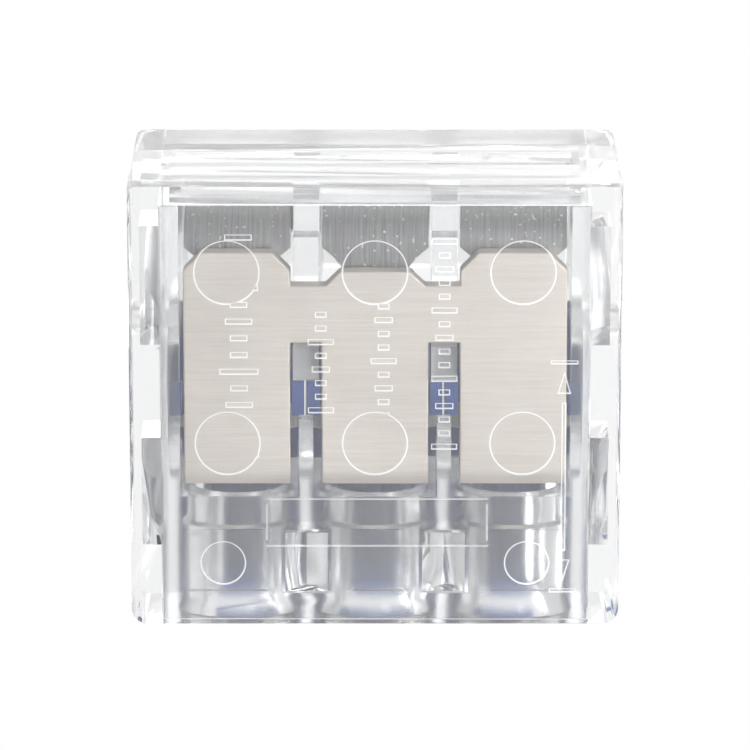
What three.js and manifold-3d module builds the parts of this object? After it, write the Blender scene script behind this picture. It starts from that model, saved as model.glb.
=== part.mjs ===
// Three-way lever wire connector: a clear housing in two shells, one tinned copper busbar, three
// leaf springs and three levers. Millimetres, +Z up, resting on its base at z = 0. The wires
// enter from the front, which faces -Y. The poles stand side by side along X.
import * as THREE from 'three';
import { mergeVertices } from 'three/addons/utils/BufferGeometryUtils.js';
import Module from 'manifold-3d';

const wasm = await Module();
wasm.setup();

// Driving dimensions of the whole connector
const WIDTH = 18.8;
const HEIGHT = 8.3;
const FRONT_Y = -8.4;
const BACK_Y_BASE = 8.95;
const BACK_Y_TOP = 9.3;
const LEVER_TIP_Y = -9.3;
const PITCH = 5.3;
const POLES = [-PITCH, 0, PITCH];
const DIVIDERS = [-PITCH / 2, PITCH / 2];
const ROUND_STEPS = 48;
const PLAN_CURVE_STEPS = 6;
const WELD = 1e-5;
const OVERLAP = 0.1;
const CUT_PAST = 1;

// Cover: a tray with a floor, two side walls and a sloped back wall
const FLOOR_TOP = 0.9;
const COVER_INNER_X = 8.25;
const COVER_INNER_BACK_Y = 8.1;
const FRONT_CORNER_R = 0.6;
const BACK_CORNER_R = 0.35;
const SIDE_TOP_FRONT = 6.5;
// The body's roof reaches the back surface above this height, between the side walls.
const BACK_WALL_TOP = 6.1;
const SNAP_GROOVE_Z = [4.0, 5.7];
const SNAP_GROOVE_X = 7.9;
const SNAP_GROOVE_DEPTH = 0.35;
const SNAP_DEPTH = 0.25;
const SNAP_PLAY = 0.3;
const STEP_Y_LOW = 1.2;
const STEP_Y_HIGH = 4.0;

// Body: sits in the tray with a small clearance on each side
const SHELL_GAP = 0.05;
const BODY_X = COVER_INNER_X - SHELL_GAP;
const BODY_BOTTOM = FLOOR_TOP + SHELL_GAP;
const BODY_BACK_Y = COVER_INNER_BACK_Y - SHELL_GAP;
const CAVITY_X = 7.5;
const BLOCK_REAR_Y = -3.45;
const ROOF_FRONT_Y = 4.08;
const ROOF_BOTTOM = 7.1;
const DIVIDER_HALF = 0.5;
const WEB_HALF = 0.28;
const WEB_END_Y = -0.2;
// Ribs on the cover's floor that stand in the busbar slots
const RIB_HALF = 0.5;
const RIB_Y = [1.2, 2.55];
const DIVIDER_BOTTOM = 1.95;
const PEG_Y = [5.15, 6.85];

// Wire entry bore of one pole
const BORE_Z = 3.5;
const MOUTH_R = 2.4;
const INSULATION_R = 2.2;
const WIRE_R = 2.0;
const MOUTH_DEPTH = 0.6;
const STOP_Y = -4.85;
const STOP_SLOPE = 0.15;

// Hip-roofed pocket under the block, between two bores
const POCKET_HALF = 0.95;
const POCKET_TOP = 3.0;
const POCKET_Y = [-7.35, -4.8];
const WEDGE_HALF = 0.82;
const WEDGE_TOP = 2.2;
const WEDGE_INSET = 0.1;

// Latches on both sides: a pocket in the cover wall and a lug on the body
const LATCHES = [[2.5, 7.2], [-5.5, -1.2]];
const LATCH_Z = [1.6, 5.6];
const LATCH_POCKET_X = 9.0;
const LUG_X = 8.8;
const LUG_INSET = 0.4;
const LUG_HEIGHT = 2.6;
const LUG_FLAT = 1.2;

// Lever: turns about a line along X through the pivot
const PIVOT_Y = 0.4;
const PIVOT_Z = 4.7;
const LEVER_HALF_WIDTH = 2.45;
const LEG_INNER = 2.12;
const LEG_OUTER = 2.59;
const CHEEK_INNER = 1.35;
const HUB_R = 2.6;
const RIM_R = 3.55;
const DRUM_INNER_R = 2.3;
const SEAT_R = 3.68;
const SEAT_X = 7.97;
const PLATE_BOTTOM = 2.3;
const PLATE_TOP = HEIGHT - PIVOT_Z;
const PLATE_REAR = -1.6;
const FOOT_HALF_ANGLE = 11;
const CHEEK_ANGLES = [50, 92];
// Corners of the notch ahead of the cam nose, as (y, z) from the pivot
const NOSE_NOTCH = [
  [-3.2, -3.2], [-0.96, -3.2], [-0.96, -1.66], [-0.72, -1.44], [-0.22, -1.38],
  [-0.22, -0.7], [-0.42, -0.12], [-3.2, -0.12],
];
const TIP_R = 0.6;
const LIP_R = 0.3;
const LIP_DROP = 0.4;
const LIP_REACH = 0.95;

// Busbar
const BAR_BOTTOM = 1.05;
const BAR_TOP = 1.85;
const LOBE_HALF = 2.05;
const BRIDGE_Y = [2.65, 4.9];
const LOBE_BACK_OUTER = 6.2;
const LOBE_BACK_MIDDLE = 5.45;
const BAR_FRONT_Y = -3.1;
const LOBE_CHAMFER = 0.7;
const BAR_LEAD_IN = 0.7;
const BAR_NOSE = 0.35;

// Leaf spring: anchor leg on the busbar, bow at the rear, clamping leg above
const STRIP = 0.4;
const BOW_Y = 6.2;
const BOW_Z = 3.75;
const BOW_R = 1.65;
const BOW_HALF_WIDTH = 2.05;
const ANCHOR_HALF_WIDTH = 1.3;
const CLAMP_HALF_WIDTH = 1.25;
const ANCHOR_FRONT_Y = 3.0;
const BOW_SPLIT_HALF_ANGLE = 12.5;
const BEND_Y = -1.1;
const BEND_Z = 3.4;
const LUG_HALF_WIDTH = 2.45;
const TIP_Y = -1.9;
const TIP_Z = 2.05;
const TIP_HALF_WIDTH = 1.9;
const TIP_WIDTH = 0.36;
const TIP_LEAN = 0.35;
const LUG_REACH = 0.5;
const LUG_Y = [-1.36, -0.4];
const NECK_Y = 6.1;
const NECK_TAPER = 0.5;
const NICK = 0.01;

const finish = {
  clearPlastic: () => new THREE.MeshStandardMaterial({ color: 0xeef1f3, roughness: 0.12, metalness: 0 }),
  tinnedCopper: () => new THREE.MeshStandardMaterial({ color: 0xcfc7bd, roughness: 0.38, metalness: 0.9 }),
  springSteel: () => new THREE.MeshStandardMaterial({ color: 0xa5a6a8, roughness: 0.3, metalness: 1 }),
  bluePlastic: () => new THREE.MeshStandardMaterial({ color: 0x1f3f8f, roughness: 0.4, metalness: 0 }),
};

const rad = THREE.MathUtils.degToRad;

// Turns a closed geometry into a solid that can be joined and cut.
function solid(geometry) {
  const bare = geometry.clone();
  bare.deleteAttribute('normal');
  bare.deleteAttribute('uv');
  const merged = mergeVertices(bare, WELD);
  return new wasm.Manifold(new wasm.Mesh({
    numProp: 3,
    vertProperties: new Float32Array(merged.attributes.position.array),
    triVerts: new Uint32Array(merged.index.array),
  }));
}

function mesh(name, shape, material) {
  const data = shape.getMesh();
  const geometry = new THREE.BufferGeometry();
  geometry.setAttribute('position', new THREE.BufferAttribute(data.vertProperties, 3));
  geometry.setIndex(new THREE.BufferAttribute(data.triVerts, 1));
  geometry.computeVertexNormals();
  const piece = new THREE.Mesh(geometry, material);
  piece.name = name;
  return piece;
}

function box(x, y, z) {
  const geometry = new THREE.BoxGeometry(x[1] - x[0], y[1] - y[0], z[1] - z[0]);
  geometry.translate((x[0] + x[1]) / 2, (y[0] + y[1]) / 2, (z[0] + z[1]) / 2);
  return solid(geometry);
}

// A side outline in (y, z), given as a THREE.Shape, pushed out along X.
function alongX(outline, x) {
  const geometry = new THREE.ExtrudeGeometry(outline, {
    depth: x[1] - x[0], bevelEnabled: false, curveSegments: ROUND_STEPS / 4,
  });
  const turn = new THREE.Matrix4().makeBasis(
    new THREE.Vector3(0, 1, 0), new THREE.Vector3(0, 0, 1), new THREE.Vector3(1, 0, 0));
  geometry.applyMatrix4(turn);
  geometry.translate(x[0], 0, 0);
  return solid(geometry);
}

// A front outline in (x, z) pushed back along Y.
function alongY(outline, y) {
  const geometry = new THREE.ExtrudeGeometry(outline, { depth: y[1] - y[0], bevelEnabled: false });
  const turn = new THREE.Matrix4().makeBasis(
    new THREE.Vector3(1, 0, 0), new THREE.Vector3(0, 0, 1), new THREE.Vector3(0, -1, 0));
  geometry.applyMatrix4(turn);
  geometry.translate(0, y[1], 0);
  return solid(geometry);
}

// A plan outline in (x, y) pushed up along Z.
function alongZ(outline, z) {
  const geometry = new THREE.ExtrudeGeometry(outline, {
    depth: z[1] - z[0], bevelEnabled: false, curveSegments: PLAN_CURVE_STEPS,
  });
  geometry.translate(0, 0, z[0]);
  return solid(geometry);
}

function polygon(points) {
  return new THREE.Shape(points.map(([u, v]) => new THREE.Vector2(u, v)));
}

// A disc whose axis lies along X.
function disc(r, y, z, x) {
  const outline = new THREE.Shape();
  outline.absarc(y, z, r, 0, 2 * Math.PI, false);
  return alongX(outline, x);
}

// A ring sector about an axis along X, between two angles in degrees.
function sector(y, z, inner, outer, from, to, x) {
  const outline = new THREE.Shape();
  outline.absarc(y, z, outer, rad(from), rad(to), false);
  if (inner > 0) {
    outline.absarc(y, z, inner, rad(to), rad(from), true);
  } else {
    outline.lineTo(y, z);
  }
  outline.closePath();
  return alongX(outline, x);
}

function joined(shapes) {
  return shapes.reduce((a, b) => a.add(b));
}

// Mirrors a range of |x| to both sides of a pole or of the connector.
function bothSides(centre, near, far) {
  return [[centre - far, centre - near], [centre + near, centre + far]];
}

// Where the sloped back surface lies at height z.
function backY(z) {
  return BACK_Y_BASE + (BACK_Y_TOP - BACK_Y_BASE) * z / HEIGHT;
}

// Side view of the housing wall: low in front, a smooth rise, then full height to the back.
function wallOutline(front, back0, back1, bottom, drop) {
  const outline = new THREE.Shape();
  const middle = (STEP_Y_LOW + STEP_Y_HIGH) / 2;
  outline.moveTo(front, bottom);
  outline.lineTo(back0, bottom);
  outline.lineTo(back1, HEIGHT - drop);
  outline.lineTo(STEP_Y_HIGH, HEIGHT - drop);
  outline.bezierCurveTo(middle, HEIGHT - drop, middle, SIDE_TOP_FRONT - drop,
    STEP_Y_LOW, SIDE_TOP_FRONT - drop);
  outline.lineTo(front, SIDE_TOP_FRONT - drop);
  outline.closePath();
  return outline;
}

function planOutline() {
  const half = WIDTH / 2;
  const plan = new THREE.Shape();
  plan.moveTo(-half + FRONT_CORNER_R, FRONT_Y);
  plan.lineTo(half - FRONT_CORNER_R, FRONT_Y);
  plan.absarc(half - FRONT_CORNER_R, FRONT_Y + FRONT_CORNER_R, FRONT_CORNER_R, -Math.PI / 2, 0, false);
  plan.lineTo(half, BACK_Y_TOP - BACK_CORNER_R);
  plan.absarc(half - BACK_CORNER_R, BACK_Y_TOP - BACK_CORNER_R, BACK_CORNER_R, 0, Math.PI / 2, false);
  plan.lineTo(-half + BACK_CORNER_R, BACK_Y_TOP);
  plan.absarc(-half + BACK_CORNER_R, BACK_Y_TOP - BACK_CORNER_R, BACK_CORNER_R,
    Math.PI / 2, Math.PI, false);
  plan.lineTo(-half, FRONT_Y + FRONT_CORNER_R);
  plan.absarc(-half + FRONT_CORNER_R, FRONT_Y + FRONT_CORNER_R, FRONT_CORNER_R,
    Math.PI, 1.5 * Math.PI, false);
  return plan;
}

function housingCover() {
  const half = WIDTH / 2;
  const inside = [-COVER_INNER_X, COVER_INNER_X];
  const side = wallOutline(FRONT_Y, BACK_Y_BASE, BACK_Y_TOP, 0, 0);
  let shell = alongX(side, [-half, half]).intersect(alongZ(planOutline(), [0, HEIGHT]));
  shell = shell.subtract(box(inside, [FRONT_Y - CUT_PAST, COVER_INNER_BACK_Y],
    [FLOOR_TOP, HEIGHT + CUT_PAST]));
  shell = shell.subtract(box(inside, [COVER_INNER_BACK_Y - OVERLAP, BACK_Y_TOP + CUT_PAST],
    [BACK_WALL_TOP, HEIGHT + CUT_PAST]));
  shell = shell.subtract(box([-SNAP_GROOVE_X, SNAP_GROOVE_X],
    [COVER_INNER_BACK_Y - OVERLAP, COVER_INNER_BACK_Y + SNAP_GROOVE_DEPTH], SNAP_GROOVE_Z));
  const ribs = DIVIDERS.map((x) => box([x - RIB_HALF, x + RIB_HALF], RIB_Y, [FLOOR_TOP - OVERLAP, BAR_TOP]));
  shell = shell.add(joined(ribs).subtract(disc(SEAT_R, PIVOT_Y, PIVOT_Z, [-SEAT_X, SEAT_X])));
  // Roof-shaped wedges on the floor, which centre the body in the cover.
  for (const x of DIVIDERS) {
    const roof = polygon([
      [x - WEDGE_HALF, FLOOR_TOP - OVERLAP], [x + WEDGE_HALF, FLOOR_TOP - OVERLAP],
      [x + WEDGE_HALF, FLOOR_TOP], [x, WEDGE_TOP], [x - WEDGE_HALF, FLOOR_TOP],
    ]);
    shell = shell.add(alongY(roof, [POCKET_Y[0] + WEDGE_INSET, POCKET_Y[1] - WEDGE_INSET]));
  }
  for (const [y0, y1] of LATCHES) {
    for (const x of bothSides(0, COVER_INNER_X - 2 * OVERLAP, LATCH_POCKET_X)) {
      shell = shell.subtract(box(x, [y0, y1], LATCH_Z));
    }
  }
  return mesh('housing_cover', shell, finish.clearPlastic());
}

// The hollow of one wire entry, turned about a line along Y at the height of the bore.
function entryBore(x) {
  const reach = 0.5;
  const profile = [
    [0, FRONT_Y - reach], [MOUTH_R, FRONT_Y - reach], [MOUTH_R, FRONT_Y],
    [INSULATION_R, FRONT_Y + MOUTH_DEPTH], [INSULATION_R, STOP_Y],
    [WIRE_R, STOP_Y + STOP_SLOPE], [WIRE_R, BLOCK_REAR_Y + reach], [0, BLOCK_REAR_Y + reach],
  ];
  const geometry = new THREE.LatheGeometry(profile.map(([r, y]) => new THREE.Vector2(r, y)), ROUND_STEPS);
  geometry.translate(x, 0, BORE_Z);
  return solid(geometry);
}

function latchLug(side, y0, y1) {
  const root = BODY_X - 2 * OVERLAP;
  const top = LATCH_Z[1] - LUG_INSET;
  const outline = polygon([
    [root, top - LUG_HEIGHT], [BODY_X, top - LUG_HEIGHT], [LUG_X, top - LUG_FLAT], [LUG_X, top], [root, top],
  ]);
  const lug = alongY(outline, [y0 + LUG_INSET, y1 - LUG_INSET]);
  return side > 0 ? lug : lug.mirror([1, 0, 0]);
}

function housingBody() {
  const side = wallOutline(FRONT_Y, BODY_BACK_Y, BODY_BACK_Y, BODY_BOTTOM, 0);
  const parts = [];
  for (const x of bothSides(0, CAVITY_X, BODY_X)) {
    parts.push(alongX(side, x));
  }
  parts.push(box([-BODY_X, BODY_X], [FRONT_Y, BLOCK_REAR_Y], [BODY_BOTTOM, SIDE_TOP_FRONT]));
  parts.push(box([-BODY_X, BODY_X], [ROOF_FRONT_Y, BODY_BACK_Y], [ROOF_BOTTOM, HEIGHT]));
  // The roof reaches over the back wall of the cover.
  const overhang = BACK_WALL_TOP + SHELL_GAP;
  parts.push(alongX(polygon([
    [BODY_BACK_Y - OVERLAP, overhang], [backY(overhang), overhang],
    [backY(HEIGHT), HEIGHT], [BODY_BACK_Y - OVERLAP, HEIGHT],
  ]), [-BODY_X, BODY_X]));
  for (const x of DIVIDERS) {
    const wall = [x - DIVIDER_HALF, x + DIVIDER_HALF];
    parts.push(box(wall, [BODY_BACK_Y - OVERLAP, BODY_BACK_Y + SNAP_DEPTH],
      [SNAP_GROOVE_Z[0] + SNAP_PLAY, SNAP_GROOVE_Z[1] - SNAP_PLAY]));
    parts.push(box(wall, [PIVOT_Y, BODY_BACK_Y], [DIVIDER_BOTTOM, ROOF_BOTTOM + OVERLAP]));
    parts.push(box(wall, PEG_Y, [BODY_BOTTOM, DIVIDER_BOTTOM + OVERLAP]));
    parts.push(box([x - WEB_HALF, x + WEB_HALF], [BLOCK_REAR_Y - OVERLAP, WEB_END_Y],
      [BODY_BOTTOM, PIVOT_Z]));
  }
  for (const [y0, y1] of LATCHES) {
    parts.push(latchLug(1, y0, y1), latchLug(-1, y0, y1));
  }
  let body = joined(parts);
  // Round seats for the levers, open to the top so that a lever can stand upright.
  const seat = disc(SEAT_R, PIVOT_Y, PIVOT_Z, [-SEAT_X, SEAT_X]);
  const upright = box([-SEAT_X, SEAT_X], [BLOCK_REAR_Y + SHELL_GAP, ROOF_FRONT_Y],
    [PIVOT_Z, HEIGHT + CUT_PAST]);
  body = body.subtract(seat).subtract(upright);
  for (const x of POLES) {
    body = body.subtract(entryBore(x));
  }
  for (const x of DIVIDERS) {
    const roof = polygon([
      [x - POCKET_HALF, BODY_BOTTOM - OVERLAP], [x + POCKET_HALF, BODY_BOTTOM - OVERLAP],
      [x + POCKET_HALF, BODY_BOTTOM], [x, POCKET_TOP], [x - POCKET_HALF, BODY_BOTTOM],
    ]);
    body = body.subtract(alongY(roof, POCKET_Y));
  }
  return mesh('housing_body', body, finish.clearPlastic());
}

// Plan of one busbar lobe, with chamfered rear corners.
function lobePlan(x, back) {
  const c = LOBE_CHAMFER;
  return polygon([
    [x - LOBE_HALF, BAR_FRONT_Y], [x + LOBE_HALF, BAR_FRONT_Y], [x + LOBE_HALF, back - c],
    [x + LOBE_HALF - c, back], [x - LOBE_HALF + c, back], [x - LOBE_HALF, back - c],
  ]);
}

function busbar() {
  const parts = POLES.map((x) => alongZ(
    lobePlan(x, x === 0 ? LOBE_BACK_MIDDLE : LOBE_BACK_OUTER), [BAR_BOTTOM, BAR_TOP]));
  parts.push(box([-PITCH - LOBE_HALF, PITCH + LOBE_HALF], BRIDGE_Y, [BAR_BOTTOM, BAR_TOP]));
  let bar = joined(parts);
  // The front edge is bevelled from below.
  const nose = BAR_TOP - BAR_NOSE;
  const bevel = polygon([
    [BAR_FRONT_Y - CUT_PAST, BAR_BOTTOM - CUT_PAST], [BAR_FRONT_Y + BAR_LEAD_IN, BAR_BOTTOM - CUT_PAST],
    [BAR_FRONT_Y + BAR_LEAD_IN, BAR_BOTTOM], [BAR_FRONT_Y, nose], [BAR_FRONT_Y - CUT_PAST, nose],
  ]);
  bar = bar.subtract(alongX(bevel, [-WIDTH / 2, WIDTH / 2]));
  return mesh('busbar', bar, finish.tinnedCopper());
}

// Direction of the clamping leg: the line from the bend that touches the top of the bow.
const bendReach = Math.hypot(BEND_Y - BOW_Y, BEND_Z - BOW_Z);
const legSlope = Math.asin(BOW_R / bendReach) + Math.atan2(BOW_Z - BEND_Z, BOW_Y - BEND_Y);
const BOW_TOP_ANGLE = 90 + THREE.MathUtils.radToDeg(legSlope);

const BOW_INNER = BOW_R - STRIP / 2;
const BOW_OUTER = BOW_R + STRIP / 2;

// Plan of the strip as it is stamped: half width at each place along Y, front to back.
function stripPlan(x, stations) {
  const right = stations.map(([y, half]) => [x + half, y]);
  const left = stations.map(([y, half]) => [x - half, y]).reverse();
  return polygon([...right, ...left]);
}

function stamped(profile, x, stations) {
  const wide = [x - LUG_HALF_WIDTH - CUT_PAST, x + LUG_HALF_WIDTH + CUT_PAST];
  return alongX(profile, wide).intersect(alongZ(stripPlan(x, stations), [0, HEIGHT]));
}

function anchorLeg(index, x) {
  const profile = new THREE.Shape();
  profile.moveTo(ANCHOR_FRONT_Y, BOW_Z - BOW_OUTER);
  profile.lineTo(BOW_Y, BOW_Z - BOW_OUTER);
  profile.absarc(BOW_Y, BOW_Z, BOW_OUTER, rad(-90), rad(-BOW_SPLIT_HALF_ANGLE), false);
  profile.absarc(BOW_Y, BOW_Z, BOW_INNER, rad(-BOW_SPLIT_HALF_ANGLE), rad(-90), true);
  profile.lineTo(ANCHOR_FRONT_Y, BOW_Z - BOW_INNER);
  profile.closePath();
  const stations = [
    [ANCHOR_FRONT_Y - CUT_PAST, ANCHOR_HALF_WIDTH], [NECK_Y - NECK_TAPER, ANCHOR_HALF_WIDTH],
    [NECK_Y, BOW_HALF_WIDTH], [BACK_Y_TOP, BOW_HALF_WIDTH],
  ];
  return mesh(`anchor_leg_${index}`, stamped(profile, x, stations), finish.springSteel());
}

function clampLeg(index, x) {
  const half = STRIP / 2;
  const [downY, downZ] = [-Math.cos(legSlope), -Math.sin(legSlope)];
  const [upY, upZ] = [-Math.sin(legSlope), Math.cos(legSlope)];
  const endY = BEND_Y + downY * LUG_REACH;
  const endZ = BEND_Z + downZ * LUG_REACH;
  const profile = new THREE.Shape();
  profile.absarc(BOW_Y, BOW_Z, BOW_INNER, rad(BOW_SPLIT_HALF_ANGLE), rad(BOW_TOP_ANGLE), false);
  profile.lineTo(endY + TIP_WIDTH * TIP_LEAN - upY * half, endZ - upZ * half);
  profile.lineTo(TIP_Y + TIP_WIDTH / 2, TIP_Z);
  profile.lineTo(TIP_Y - TIP_WIDTH / 2, TIP_Z);
  profile.lineTo(endY - TIP_WIDTH * (1 - TIP_LEAN) + upY * half, endZ);
  profile.lineTo(endY + upY * half, endZ + upZ * half);
  profile.absarc(BOW_Y, BOW_Z, BOW_OUTER, rad(BOW_TOP_ANGLE), rad(BOW_SPLIT_HALF_ANGLE), true);
  profile.closePath();
  const stations = [
    [TIP_Y - CUT_PAST, TIP_HALF_WIDTH], [LUG_Y[0], TIP_HALF_WIDTH], [LUG_Y[0] + NICK, LUG_HALF_WIDTH],
    [LUG_Y[1], LUG_HALF_WIDTH], [LUG_Y[1] + NICK, CLAMP_HALF_WIDTH],
    [NECK_Y - NECK_TAPER, CLAMP_HALF_WIDTH], [NECK_Y, BOW_HALF_WIDTH], [BACK_Y_TOP, BOW_HALF_WIDTH],
  ];
  return mesh(`clamp_leg_${index}`, stamped(profile, x, stations), finish.springSteel());
}

// Side view of the lever plate about the pivot, with a rounded tip and a lip under it.
function plateOutline() {
  const y0 = LEVER_TIP_Y;
  const z0 = PIVOT_Z + PLATE_BOTTOM;
  const z1 = PIVOT_Z + PLATE_TOP;
  const outline = new THREE.Shape();
  const lipZ = z0 - LIP_DROP;
  outline.moveTo(PIVOT_Y - OVERLAP, z0);
  outline.lineTo(PIVOT_Y - OVERLAP, z1);
  outline.lineTo(y0 + TIP_R, z1);
  outline.absarc(y0 + TIP_R, z1 - TIP_R, TIP_R, Math.PI / 2, Math.PI, false);
  outline.lineTo(y0, lipZ + LIP_R);
  outline.absarc(y0 + LIP_R, lipZ + LIP_R, LIP_R, Math.PI, 1.5 * Math.PI, false);
  outline.lineTo(y0 + LIP_REACH - LIP_R, lipZ);
  outline.lineTo(y0 + LIP_REACH, z0);
  outline.closePath();
  return outline;
}

function lever(index, x) {
  const parts = [alongX(plateOutline(), [x - LEVER_HALF_WIDTH, x + LEVER_HALF_WIDTH])];
  for (const range of bothSides(x, CHEEK_INNER, LEG_OUTER)) {
    parts.push(sector(PIVOT_Y, PIVOT_Z, DRUM_INNER_R, RIM_R, ...CHEEK_ANGLES, range));
  }
  for (const range of bothSides(x, LEG_INNER, LEG_OUTER)) {
    parts.push(disc(HUB_R, PIVOT_Y, PIVOT_Z, range));
    parts.push(sector(PIVOT_Y, PIVOT_Z, 0, RIM_R, 270 - FOOT_HALF_ANGLE, 270 + FOOT_HALF_ANGLE, range));
  }
  let shape = joined(parts);
  // Open the plate between the cheeks, where the spring leg passes when the lever stands upright.
  shape = shape.subtract(box([x - CHEEK_INNER, x + CHEEK_INNER],
    [PIVOT_Y + PLATE_REAR, PIVOT_Y + RIM_R], [PIVOT_Z, HEIGHT + CUT_PAST]));
  // Notch ahead of the cam nose, which leaves room for the spring lug at every lever angle.
  const notch = polygon(NOSE_NOTCH.map(([y, z]) => [PIVOT_Y + y, PIVOT_Z + z]));
  shape = shape.subtract(alongX(notch, [x - LEG_OUTER - OVERLAP, x + LEG_OUTER + OVERLAP]));
  return mesh(`lever_${index}`, shape, finish.bluePlastic());
}

const connector = new THREE.Group();
connector.name = 'lever_wire_connector';
connector.add(housingCover(), housingBody(), busbar());
POLES.forEach((x, i) => {
  connector.add(anchorLeg(i + 1, x), clampLeg(i + 1, x), lever(i + 1, x));
});

export default connector;
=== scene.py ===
"""Three-way lever wire connector in clear plastic, seen from below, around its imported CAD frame.

Blender units are metres. Each piece's mesh is worked in millimetres, and settle() scales it down.
"""
import math

import bmesh
import bpy
from mathutils import Matrix, Vector

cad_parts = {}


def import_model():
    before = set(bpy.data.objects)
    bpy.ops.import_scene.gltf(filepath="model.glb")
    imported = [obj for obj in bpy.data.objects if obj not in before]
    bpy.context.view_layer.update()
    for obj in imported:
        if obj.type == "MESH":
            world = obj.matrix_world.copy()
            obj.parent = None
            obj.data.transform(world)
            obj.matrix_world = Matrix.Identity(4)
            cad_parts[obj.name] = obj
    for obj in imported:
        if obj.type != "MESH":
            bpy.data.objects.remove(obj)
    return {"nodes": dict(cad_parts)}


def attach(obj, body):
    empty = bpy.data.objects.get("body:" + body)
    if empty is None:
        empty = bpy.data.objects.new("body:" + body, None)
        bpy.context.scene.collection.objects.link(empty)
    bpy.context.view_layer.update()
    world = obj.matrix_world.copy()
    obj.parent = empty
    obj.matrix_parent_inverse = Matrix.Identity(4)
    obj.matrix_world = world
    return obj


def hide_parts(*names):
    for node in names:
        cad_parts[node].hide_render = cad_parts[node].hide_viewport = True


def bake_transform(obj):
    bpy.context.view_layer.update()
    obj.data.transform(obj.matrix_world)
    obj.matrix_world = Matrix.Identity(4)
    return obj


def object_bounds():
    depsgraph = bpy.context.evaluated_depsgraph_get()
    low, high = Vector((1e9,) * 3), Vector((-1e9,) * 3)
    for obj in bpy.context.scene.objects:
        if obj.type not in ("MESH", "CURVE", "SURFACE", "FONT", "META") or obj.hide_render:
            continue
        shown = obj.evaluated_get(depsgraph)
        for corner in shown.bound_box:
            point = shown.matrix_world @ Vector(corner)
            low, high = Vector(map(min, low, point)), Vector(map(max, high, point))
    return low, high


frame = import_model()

cad_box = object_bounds()

MM = 0.001
POLES = (1, 2, 3)
PITCH = 5.3              # from pole to pole along X
WELD = 0.002             # CAD vertices closer than this are one


# ---------------------------------------------------------------- mesh helpers, in millimetres

def object_from(bm, name):
    """A Blender object, in millimetres until settle() scales it, made from a bmesh."""
    bmesh.ops.recalc_face_normals(bm, faces=bm.faces)
    mesh = bpy.data.meshes.new(name)
    bm.to_mesh(mesh)
    bm.free()
    obj = bpy.data.objects.new(name, mesh)
    bpy.context.scene.collection.objects.link(obj)
    return obj


def cad_copy(node, name):
    """A copy of a CAD node in millimetres, with its coplanar triangles joined into faces."""
    bm = bmesh.new()
    bm.from_mesh(frame["nodes"][node].data)
    bmesh.ops.scale(bm, vec=(1 / MM,) * 3, verts=bm.verts)
    bmesh.ops.remove_doubles(bm, verts=bm.verts, dist=WELD)
    bmesh.ops.dissolve_limit(bm, angle_limit=math.radians(1.0), verts=bm.verts, edges=bm.edges)
    return object_from(bm, name)


def apply_modifiers(obj):
    bpy.context.view_layer.update()
    graph = bpy.context.evaluated_depsgraph_get()
    mesh = bpy.data.meshes.new_from_object(obj.evaluated_get(graph))
    obj.modifiers.clear()
    obj.data = mesh


def bevel(obj, width, segments=3, angle=35):
    """Rounds every edge that is sharper than the angle, in degrees."""
    mod = obj.modifiers.new("bevel", "BEVEL")
    mod.width = width
    mod.segments = segments
    mod.limit_method = "ANGLE"
    mod.angle_limit = math.radians(angle)
    apply_modifiers(obj)


def bevel_by_place(obj, width, share, segments=3, angle=35):
    """Bevels the sharp edges, each by the share of the width that share(midpoint) gives."""
    bm = bmesh.new()
    bm.from_mesh(obj.data)
    weight = bm.edges.layers.float.new("bevel_weight_edge")
    for edge in bm.edges:
        if len(edge.link_faces) == 2 and edge.calc_face_angle() > math.radians(angle):
            edge[weight] = share((edge.verts[0].co + edge.verts[1].co) / 2)
    bm.to_mesh(obj.data)
    bm.free()
    mod = obj.modifiers.new("bevel", "BEVEL")
    mod.width = width
    mod.segments = segments
    mod.limit_method = "WEIGHT"
    apply_modifiers(obj)


def cut(obj, cutter):
    """Takes the cutter's shape out of obj and removes the cutter."""
    mod = obj.modifiers.new("bool", "BOOLEAN")
    mod.operation = "DIFFERENCE"
    mod.object = cutter
    mod.solver = "EXACT"
    apply_modifiers(obj)
    bpy.data.objects.remove(cutter)


def settle(obj, smooth_angle=35):
    """Shades a finished piece, broad faces weighing most, and scales it to metres."""
    obj.data.shade_smooth()
    obj.data.set_sharp_from_angle(angle=math.radians(smooth_angle))
    mod = obj.modifiers.new("normals", "WEIGHTED_NORMAL")
    mod.weight = 100
    mod.keep_sharp = True
    apply_modifiers(obj)
    obj.data.transform(Matrix.Scale(MM, 4))


def add_box(bm, low, high):
    made = bmesh.ops.create_cube(bm, size=1.0)["verts"]
    size = [h - l for l, h in zip(low, high)]
    centre = [(l + h) / 2 for l, h in zip(low, high)]
    bmesh.ops.scale(bm, vec=size, verts=made)
    bmesh.ops.translate(bm, vec=centre, verts=made)


BELOW = 0.1              # how far a cutter for the base starts below it


def sunk_disc(bm, x, y, radius, depth):
    """Cutter for a round mark in the base with walls at 45 degrees."""
    made = bmesh.ops.create_cone(bm, cap_ends=True, segments=64, radius1=radius + BELOW,
                                 radius2=radius - depth, depth=depth + BELOW)["verts"]
    bmesh.ops.translate(bm, vec=(x, y, (depth - BELOW) / 2), verts=made)


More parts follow.
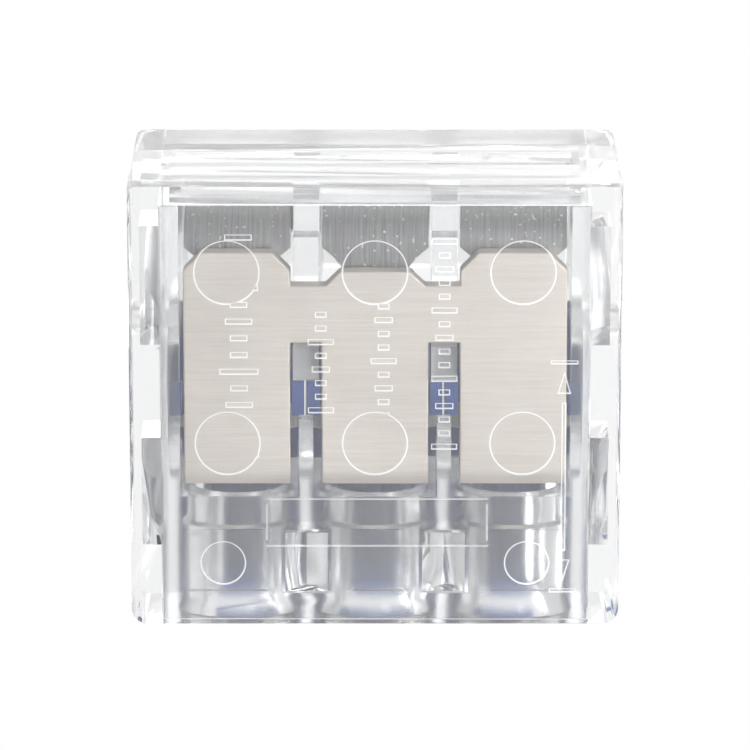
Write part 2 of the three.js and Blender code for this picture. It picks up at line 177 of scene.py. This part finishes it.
def sunk_shape(bm, corners, depth):
    """Cutter for a straight-sided mark in the base, corners anticlockwise, walls at 45 degrees."""
    rings = []
    for grow, z in ((BELOW, -BELOW), (-depth, depth)):
        ring = []
        for k, corner in enumerate(corners):
            here = Vector(corner)
            into = (here - Vector(corners[k - 1])).normalized()
            out = (Vector(corners[(k + 1) % len(corners)]) - here).normalized()
            share = grow / (1 + into.dot(out))
            normal = Vector((into.y + out.y, -into.x - out.x))
            place = here + normal * share
            ring.append(bm.verts.new((place.x, place.y, z)))
        rings.append(ring)
    bm.faces.new(rings[0])
    bm.faces.new(rings[1])
    for k in range(len(corners)):
        n = (k + 1) % len(corners)
        bm.faces.new((rings[0][k], rings[0][n], rings[1][n], rings[1][k]))


def sunk_bar(bm, x0, x1, y0, y1, depth):
    sunk_shape(bm, [(x0, y0), (x1, y0), (x1, y1), (x0, y1)], depth)


# ---------------------------------------------------------------- materials

class Nodes:
    """Short helper for building one material's node tree."""

    def __init__(self, name):
        self.material = bpy.data.materials.new(name)
        self.material.use_nodes = True
        self.tree = self.material.node_tree
        self.shader = self.tree.nodes["Principled BSDF"]

    def add(self, kind, **settings):
        node = self.tree.nodes.new(kind)
        for key, value in settings.items():
            setattr(node, key, value)
        return node

    def link(self, source, target):
        self.tree.links.new(source, target)

    def position(self, stretch):
        """Object coordinates stretched along the axes, for a grain with a direction."""
        coord = self.add("ShaderNodeTexCoord")
        mapping = self.add("ShaderNodeMapping")
        mapping.inputs["Scale"].default_value = stretch
        self.link(coord.outputs["Object"], mapping.inputs["Vector"])
        return mapping.outputs["Vector"]

    def noise(self, vector, scale, detail=4.0, roughness=0.6):
        node = self.add("ShaderNodeTexNoise")
        node.inputs["Scale"].default_value = scale
        node.inputs["Detail"].default_value = detail
        node.inputs["Roughness"].default_value = roughness
        self.link(vector, node.inputs["Vector"])
        return node.outputs["Fac"]

    def ramp(self, value, stops):
        node = self.add("ShaderNodeValToRGB")
        ramp = node.color_ramp
        while len(ramp.elements) < len(stops):
            ramp.elements.new(0.5)
        for element, (place, colour) in zip(ramp.elements, stops):
            element.position = place
            element.color = (*colour, 1.0)
        self.link(value, node.inputs["Fac"])
        return node.outputs["Color"]

    def span(self, value, low, high):
        node = self.add("ShaderNodeMapRange")
        node.inputs["To Min"].default_value = low
        node.inputs["To Max"].default_value = high
        self.link(value, node.inputs["Value"])
        return node.outputs["Result"]

    def bump(self, value, strength, distance):
        node = self.add("ShaderNodeBump")
        node.inputs["Strength"].default_value = strength
        node.inputs["Distance"].default_value = distance
        self.link(value, node.inputs["Height"])
        self.link(node.outputs["Normal"], self.shader.inputs["Normal"])


def clear_plastic(name, tint, smooth, rough):
    """Moulded polycarbonate with faint flow lines and a slightly uneven polish."""
    m = Nodes(name)
    m.shader.inputs["Transmission Weight"].default_value = 0.96
    m.shader.inputs["IOR"].default_value = 1.585
    grain = m.noise(m.position((1, 1, 1)), 900.0, 3.0)
    m.link(m.ramp(grain, [(0.3, tint), (0.7, tuple(min(1.0, c + 0.01) for c in tint))]),
           m.shader.inputs["Base Color"])
    m.link(m.span(grain, smooth, rough), m.shader.inputs["Roughness"])
    flow = m.noise(m.position((1, 0.35, 1)), 420.0, 2.0)
    m.bump(flow, 0.022, 0.00004)
    return m.material


def eroded_plastic():
    """The same plastic where the mould has a spark-eroded grain, which shows white."""
    m = Nodes("eroded_plastic")
    m.shader.inputs["Base Color"].default_value = (0.86, 0.86, 0.86, 1)
    m.shader.inputs["Transmission Weight"].default_value = 0.55
    m.shader.inputs["IOR"].default_value = 1.585
    m.shader.inputs["Roughness"].default_value = 0.5
    m.bump(m.noise(m.position((1, 1, 1)), 9000.0, 3.0), 0.3, 0.00002)
    return m.material


def tinned_copper():
    """Tin plate with the fine rolling grain of the sheet along X."""
    m = Nodes("tinned_copper")
    m.shader.inputs["Metallic"].default_value = 0.45
    grain = m.noise(m.position((0.04, 1.6, 1)), 9000.0, 5.0)
    cloud = m.noise(m.position((1, 1, 1)), 260.0, 3.0)
    mixed = m.add("ShaderNodeMath", operation="MULTIPLY_ADD")
    m.link(grain, mixed.inputs[0])
    mixed.inputs[1].default_value = 0.7
    m.link(m.span(cloud, 0.0, 0.3), mixed.inputs[2])
    m.link(m.ramp(mixed.outputs[0], [(0.25, (0.70, 0.64, 0.575)), (0.75, (0.92, 0.855, 0.785))]),
           m.shader.inputs["Base Color"])
    m.link(m.span(grain, 0.38, 0.55), m.shader.inputs["Roughness"])
    m.bump(grain, 0.25, 0.00002)
    return m.material


def spring_steel():
    """Rolled stainless strip, drawn along its length, with small bright specks."""
    m = Nodes("spring_steel")
    m.shader.inputs["Metallic"].default_value = 1.0
    grain = m.noise(m.position((1.6, 0.05, 0.05)), 8000.0, 5.0)
    base = m.ramp(grain, [(0.3, (0.28, 0.28, 0.29)), (0.7, (0.52, 0.52, 0.52))])
    dust = m.ramp(m.noise(m.position((1, 1, 1)), 7000.0, 1.0, 0.4),
                  [(0.70, (0, 0, 0)), (0.74, (1, 1, 1))])
    mix = m.add("ShaderNodeMixRGB")
    m.link(dust, mix.inputs[0])
    m.link(base, mix.inputs[1])
    mix.inputs[2].default_value = (0.95, 0.95, 0.95, 1)
    m.link(mix.outputs[0], m.shader.inputs["Base Color"])
    m.link(m.span(grain, 0.22, 0.40), m.shader.inputs["Roughness"])
    m.bump(grain, 0.3, 0.00002)
    return m.material


def lever_plastic():
    """Satin moulded blue plastic with a fine spark-eroded grain."""
    m = Nodes("lever_plastic")
    grain = m.noise(m.position((1, 1, 1)), 5000.0, 4.0)
    m.link(m.ramp(grain, [(0.3, (0.015, 0.057, 0.25)), (0.7, (0.021, 0.077, 0.31))]),
           m.shader.inputs["Base Color"])
    m.link(m.span(grain, 0.34, 0.46), m.shader.inputs["Roughness"])
    m.bump(grain, 0.25, 0.00003)
    return m.material


CLEAR_COVER = clear_plastic("clear_cover", (0.925, 0.93, 0.935), 0.04, 0.09)
CLEAR_BODY = clear_plastic("clear_body", (0.97, 0.974, 0.98), 0.16, 0.24)
ERODED = eroded_plastic()
TIN = tinned_copper()
STEEL = spring_steel()
BLUE = lever_plastic()


def hand_over(obj, material, nodes, body):
    """Gives a finished piece its material, hides the CAD nodes it stands for, and attaches it to
    its body when one is given.
    """
    obj.data.materials.clear()
    obj.data.materials.append(material)
    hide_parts(*nodes)
    if body:
        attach(obj, body)


# ---------------------------------------------------------------- housing

# The marks have different depths, so that no two floors are coplanar where marks cross.
PIN_DEPTH = 0.056
SMALL_PIN_DEPTH = 0.052
SCALE_DEPTH = 0.045
FRAME_DEPTH = 0.02
FRAME_LINE = 0.06
FRAME_GAP = 0.25
TICK_HEIGHT = 0.24


def ejector_marks(bm):
    """Shallow round marks that the mould's pins leave in the base."""
    for x in (-5.65, 0.0, 5.65):
        for y in (5.6, -1.15):
            sunk_disc(bm, x, y, 1.27, PIN_DEPTH)
    for x in (-5.85, 5.85):
        sunk_disc(bm, x, -5.95, 0.88, SMALL_PIN_DEPTH)


def groove_frame(bm, x0, x1, y0, y1):
    """A thin rectangular line cut into the base, with a gap before each corner."""
    side0, side1 = y0 + FRAME_GAP, y1 - FRAME_GAP
    sunk_bar(bm, x0, x1, y0, y0 + FRAME_LINE, FRAME_DEPTH)
    sunk_bar(bm, x0, x1, y1 - FRAME_LINE, y1, FRAME_DEPTH)
    sunk_bar(bm, x0, x0 + FRAME_LINE, side0, side1, FRAME_DEPTH)
    sunk_bar(bm, x1 - FRAME_LINE, x1, side0, side1, FRAME_DEPTH)


def strip_gauge(bm):
    """Double arrow that shows the strip length, between two end bars."""
    x, front, rear = -7.24, -7.06, 2.07
    end_half, end_thick, shaft_half = 0.53, 0.08, 0.09
    tip, foot, head_half, shaft = 0.35, 1.25, 0.26, 1.6
    for y in (front, rear):
        sunk_bar(bm, x - end_half, x + end_half, y - end_thick, y + end_thick, SCALE_DEPTH)
    front_head = [(x, front + tip), (x + head_half, front + foot), (x - head_half, front + foot)]
    rear_head = [(x, rear - tip), (x - head_half, rear - foot), (x + head_half, rear - foot)]
    sunk_shape(bm, front_head, SCALE_DEPTH)
    sunk_shape(bm, rear_head, SCALE_DEPTH)
    sunk_bar(bm, x - shaft_half, x + shaft_half, front + shaft, rear - shaft, SCALE_DEPTH)


def tick_column(bm, x, width, y0, y1, pitch):
    """A column of plain bars of changing length, like the divisions of a scale."""
    shares = (1.0, 0.45, 0.45, 0.7, 0.45)
    count = int((y1 - y0) / pitch)
    for k in range(count):
        half = width / 2 * shares[k % len(shares)]
        y = y0 + pitch * k
        sunk_bar(bm, x - half, x + half, y, y + TICK_HEIGHT, SCALE_DEPTH)


def base_marks():
    """Two cutters for what is sunk into the underside, since pins and bars cross each other."""
    bm = bmesh.new()
    ejector_marks(bm)
    pins = object_from(bm, "pin_marks")
    bm = bmesh.new()
    strip_gauge(bm)
    tick_column(bm, 5.2, 1.5, -1.72, 8.0, 0.66)
    tick_column(bm, 2.07, 1.0, 0.05, 4.8, 0.54)
    tick_column(bm, -0.33, 1.0, -0.7, 6.1, 0.54)
    tick_column(bm, -2.65, 1.0, -1.4, 7.3, 0.54)
    groove_frame(bm, -4.34, 4.18, -5.28, -3.34)
    return pins, object_from(bm, "scale_marks")


def floor_windows():
    """Shallow rectangular recesses in the inside of the floor, under the wire entries."""
    bm = bmesh.new()
    recess, above_floor = 0.72, 0.95
    for x0, x1 in ((4.18, 7.34), (-1.09, 0.85), (-7.08, -4.49)):
        add_box(bm, (x0, -7.22, recess), (x1, -4.76, above_floor))
    return object_from(bm, "windows")


def grain_faces(obj, chosen):
    """Gives the faces picked by chosen(centre, normal) the eroded finish."""
    obj.data.materials.append(ERODED)
    for face in obj.data.polygons:
        if chosen(face.center / MM, face.normal):
            face.material_index = 1


def is_mark_wall(centre, normal):
    """Whether a face is a sloping wall of a mark in the base."""
    inside = abs(centre.x) < 8.2 and -7.9 < centre.y < 8.3
    return centre.z < 0.09 and inside and -0.95 < normal.z < -0.3


def is_rib(centre):
    """Whether a face belongs to one of the two ribs that stand on the cover's floor."""
    return centre.z > 1.0 and abs(abs(centre.x) - 2.65) < 0.6 and 1.1 < centre.y < 2.65


def cover_edge_share(place):
    """Full rounding on the cover's outer edges, little inside it and at the parting line behind."""
    outside = abs(place.x) > 9.0 or place.y > 8.7 or place.y < -8.2
    parting = place.y > 8.7 and 5.9 < place.z < 6.3
    return 1.0 if outside and not parting else 0.15


def make_cover():
    cover = cad_copy("housing_cover", "cover_shell")
    bevel_by_place(cover, 0.28, cover_edge_share)
    for cutter in (*base_marks(), floor_windows()):
        cut(cover, cutter)
    settle(cover, 30)
    hand_over(cover, CLEAR_COVER, ["housing_cover"], "housing")
    grain_faces(cover, lambda c, n: is_mark_wall(c, n) or is_rib(c))


def make_body():
    body = cad_copy("housing_body", "body_insert")
    bevel(body, 0.07, 2)
    settle(body, 30)
    hand_over(body, CLEAR_BODY, ["housing_body"], "housing")


# ---------------------------------------------------------------- busbar, springs and levers

def make_busbar():
    bar = cad_copy("busbar", "busbar_plate")
    bevel(bar, 0.07, 3)
    settle(bar)
    hand_over(bar, TIN, ["busbar"], "housing")


BOW_CENTRE = Vector((0, 6.2, 3.75))
BOW_R = 1.65
STRIP = 0.4
BEND = Vector((0, -1.1, 3.4))
TIP = Vector((0, -1.92, 2.06))
TURN = 0.3               # how far before and after its corner the tip's bend runs
BOW_STEPS, LEG_STEPS, TURN_STEPS, TIP_STEPS = 40, 35, 6, 5
UPPER_FROM = 28          # points of the centreline after this one belong to the clamping leg
BOW_HALF = 2.05          # half width at the bow


def leaf_line():
    """Centreline of the leaf spring: anchor leg, bow, clamping leg, and the turned-down tip."""
    reach = BEND - BOW_CENTRE
    slope = math.asin(BOW_R / reach.length) + math.atan2(-reach.z, -reach.y)
    line = [Vector((0, 3.02 + 0.4 * k, BOW_CENTRE.z - BOW_R)) for k in range(8)]
    top = math.pi / 2 + slope
    for k in range(BOW_STEPS + 1):
        angle = -math.pi / 2 + (top + math.pi / 2) * k / BOW_STEPS
        line.append(BOW_CENTRE + Vector((0, math.cos(angle), math.sin(angle))) * BOW_R)
    start = line[-1]
    corner = BEND + (BEND - start).normalized() * 0.5
    into = (corner - start).normalized()
    out = (TIP - corner).normalized()
    before, after = corner - into * TURN, corner + out * TURN
    for k in range(1, LEG_STEPS + 1):
        line.append(start.lerp(before, k / LEG_STEPS))
    for k in range(1, TURN_STEPS):
        t = k / TURN_STEPS
        line.append(before.lerp(corner, t).lerp(corner.lerp(after, t), t))
    for k in range(TIP_STEPS + 1):
        line.append(after.lerp(TIP, k / TIP_STEPS))
    return line


def leaf_half_width(y, upper):
    """Half width of the stamped strip at a place along Y."""
    flare0, flare1 = 5.6, 6.1
    if y > flare1:
        return BOW_HALF
    neck = 1.25 if upper else 1.3
    if y > flare0:
        share = (y - flare0) / (flare1 - flare0)
        return neck + (BOW_HALF - neck) * share * share * (3 - 2 * share)
    if not upper or y > -0.4:
        return neck
    return 2.45 if y > -1.36 else 1.88


def make_spring(index):
    """One leaf spring in one piece."""
    x = PITCH * (index - 2)
    line = leaf_line()
    bm = bmesh.new()
    rings = []
    for k, point in enumerate(line):
        before = line[max(k - 1, 0)]
        after = line[min(k + 1, len(line) - 1)]
        along = (after - before).normalized()
        across = Vector((0, -along.z, along.y)) * STRIP / 2
        half = leaf_half_width(point.y, k > UPPER_FROM)
        ring = []
        for side, lift in ((-1, 1), (1, 1), (1, -1), (-1, -1)):
            ring.append(bm.verts.new(point + across * lift + Vector((x + side * half, 0, 0))))
        rings.append(ring)
    for first, second in zip(rings, rings[1:]):
        for k in range(4):
            n = (k + 1) % 4
            bm.faces.new((first[k], first[n], second[n], second[k]))
    bm.faces.new(rings[0])
    bm.faces.new(rings[-1])
    leaf = object_from(bm, f"leaf_spring_{index}")
    bevel(leaf, 0.045, 2, 50)
    settle(leaf, 40)
    hand_over(leaf, STEEL, [f"anchor_leg_{index}", f"clamp_leg_{index}"], None)
    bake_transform(leaf)


def lever_cuts(x):
    """Grip grooves across the tip and the coring under the handle, as one cutter."""
    groove_r, groove_length = 0.14, 4.0
    bm = bmesh.new()
    for k in range(4):
        y = -8.55 + 0.42 * k
        groove = bmesh.ops.create_cone(bm, cap_ends=True, segments=16, radius1=groove_r,
                                       radius2=groove_r, depth=groove_length)["verts"]
        bmesh.ops.rotate(bm, verts=groove, matrix=Matrix.Rotation(math.pi / 2, 3, "Y"))
        bmesh.ops.translate(bm, verts=groove, vec=(x, y, 8.34))
    for k in (-1, 0, 1):
        middle = x + 1.25 * k
        add_box(bm, (middle - 0.5, -8.0, 6.8), (middle + 0.5, -2.2, 7.55))
    return object_from(bm, "lever_cuts")


def make_lever(index):
    lever = cad_copy(f"lever_{index}", f"lever_handle_{index}")
    bevel(lever, 0.12, 3)
    cut(lever, lever_cuts(PITCH * (index - 2)))
    settle(lever)
    hand_over(lever, BLUE, [f"lever_{index}"], f"lever_{index}")


make_cover()
make_body()
make_busbar()
for number in POLES:
    make_spring(number)
    make_lever(number)


# ---------------------------------------------------------------- stage, light and camera

FLOOR_DROP = 0.00002     # keeps the floor from lying in the plane of the base


def floor():
    """Pale floor that shows from above only, so that a camera below sees the base."""
    bm = bmesh.new()
    bmesh.ops.create_grid(bm, x_segments=1, y_segments=1, size=0.6)
    mesh = bpy.data.meshes.new("floor")
    bm.to_mesh(mesh)
    bm.free()
    obj = bpy.data.objects.new("floor", mesh)
    bpy.context.scene.collection.objects.link(obj)
    m = Nodes("floor")
    m.shader.inputs["Base Color"].default_value = (0.86, 0.86, 0.86, 1)
    m.shader.inputs["Roughness"].default_value = 0.8
    side = m.add("ShaderNodeNewGeometry")
    glass = m.add("ShaderNodeBsdfTransparent")
    mix = m.add("ShaderNodeMixShader")
    output = m.tree.nodes["Material Output"]
    m.link(side.outputs["Backfacing"], mix.inputs[0])
    m.link(m.shader.outputs[0], mix.inputs[1])
    m.link(glass.outputs[0], mix.inputs[2])
    m.link(mix.outputs[0], output.inputs["Surface"])
    mesh.materials.append(m.material)
    obj.visible_shadow = False
    obj.visible_diffuse = False
    obj.visible_glossy = False
    obj.visible_transmission = False
    obj.location.z = cad_box[0].z - FLOOR_DROP


def world():
    """White studio surroundings that darken towards the horizon and the underside."""
    w = bpy.data.worlds.new("studio")
    bpy.context.scene.world = w
    w.use_nodes = True
    tree = w.node_tree
    coord = tree.nodes.new("ShaderNodeTexCoord")
    split = tree.nodes.new("ShaderNodeSeparateXYZ")
    ramp = tree.nodes.new("ShaderNodeValToRGB")
    remap = tree.nodes.new("ShaderNodeMapRange")
    tree.links.new(coord.outputs["Generated"], split.inputs[0])
    tree.links.new(split.outputs["Z"], remap.inputs["Value"])
    remap.inputs["From Min"].default_value = -1
    remap.inputs["From Max"].default_value = 1
    tree.links.new(remap.outputs["Result"], ramp.inputs["Fac"])
    stops = [(0.0, 0.75), (0.03, 0.52), (0.25, 0.50), (0.40, 0.85), (0.5, 1.0), (0.7, 1.0)]
    while len(ramp.color_ramp.elements) < len(stops):
        ramp.color_ramp.elements.new(0.5)
    for element, (place, grey) in zip(ramp.color_ramp.elements, stops):
        element.position = place
        element.color = (grey, grey, grey, 1)
    back = tree.nodes["Background"]
    back.inputs["Strength"].default_value = 1.0
    tree.links.new(ramp.outputs["Color"], back.inputs["Color"])


def area_light(name, place, size, power, aim):
    """Square light at a place in metres, of a power in watts, that points at aim."""
    data = bpy.data.lights.new(name, "AREA")
    data.size = size
    data.energy = power
    obj = bpy.data.objects.new(name, data)
    bpy.context.scene.collection.objects.link(obj)
    obj.location = place
    obj.rotation_mode = "QUATERNION"
    obj.rotation_quaternion = (Vector(aim) - Vector(place)).to_track_quat("-Z", "Y")


def camera():
    """Below the base, leaning towards the back of the connector, at the photograph's angle."""
    tilt = math.radians(15.4)
    distance = 0.205
    data = bpy.data.cameras.new("camera")
    data.sensor_width = 36
    data.lens = 253
    data.clip_start = 0.01
    obj = bpy.data.objects.new("camera", data)
    bpy.context.scene.collection.objects.link(obj)
    back = Vector((0, math.sin(tilt), -math.cos(tilt)))
    target = Vector((0, 0.00061, 0.0035))
    obj.location = target + back * distance
    obj.rotation_mode = "QUATERNION"
    obj.rotation_quaternion = (-back).to_track_quat("-Z", "Y")
    bpy.context.scene.camera = obj


floor()
world()
area_light("under_key", (-0.12, 0.02, -0.15), 0.12, 0.70, (0, 0, 0))
area_light("rear_top", (0.0, 0.069, 0.198), 0.06, 0.010, (0, 0.009, 0.005))
area_light("top_soft", (-0.14, -0.10, 0.16), 0.12, 0.25, (0, 0, 0))
camera()
scene = bpy.context.scene
scene.view_settings.view_transform = "Standard"
scene.view_settings.look = "None"
scene.cycles.max_bounces = 40
scene.cycles.transmission_bounces = 32
scene.cycles.transparent_max_bounces = 16
scene.cycles.glossy_bounces = 32
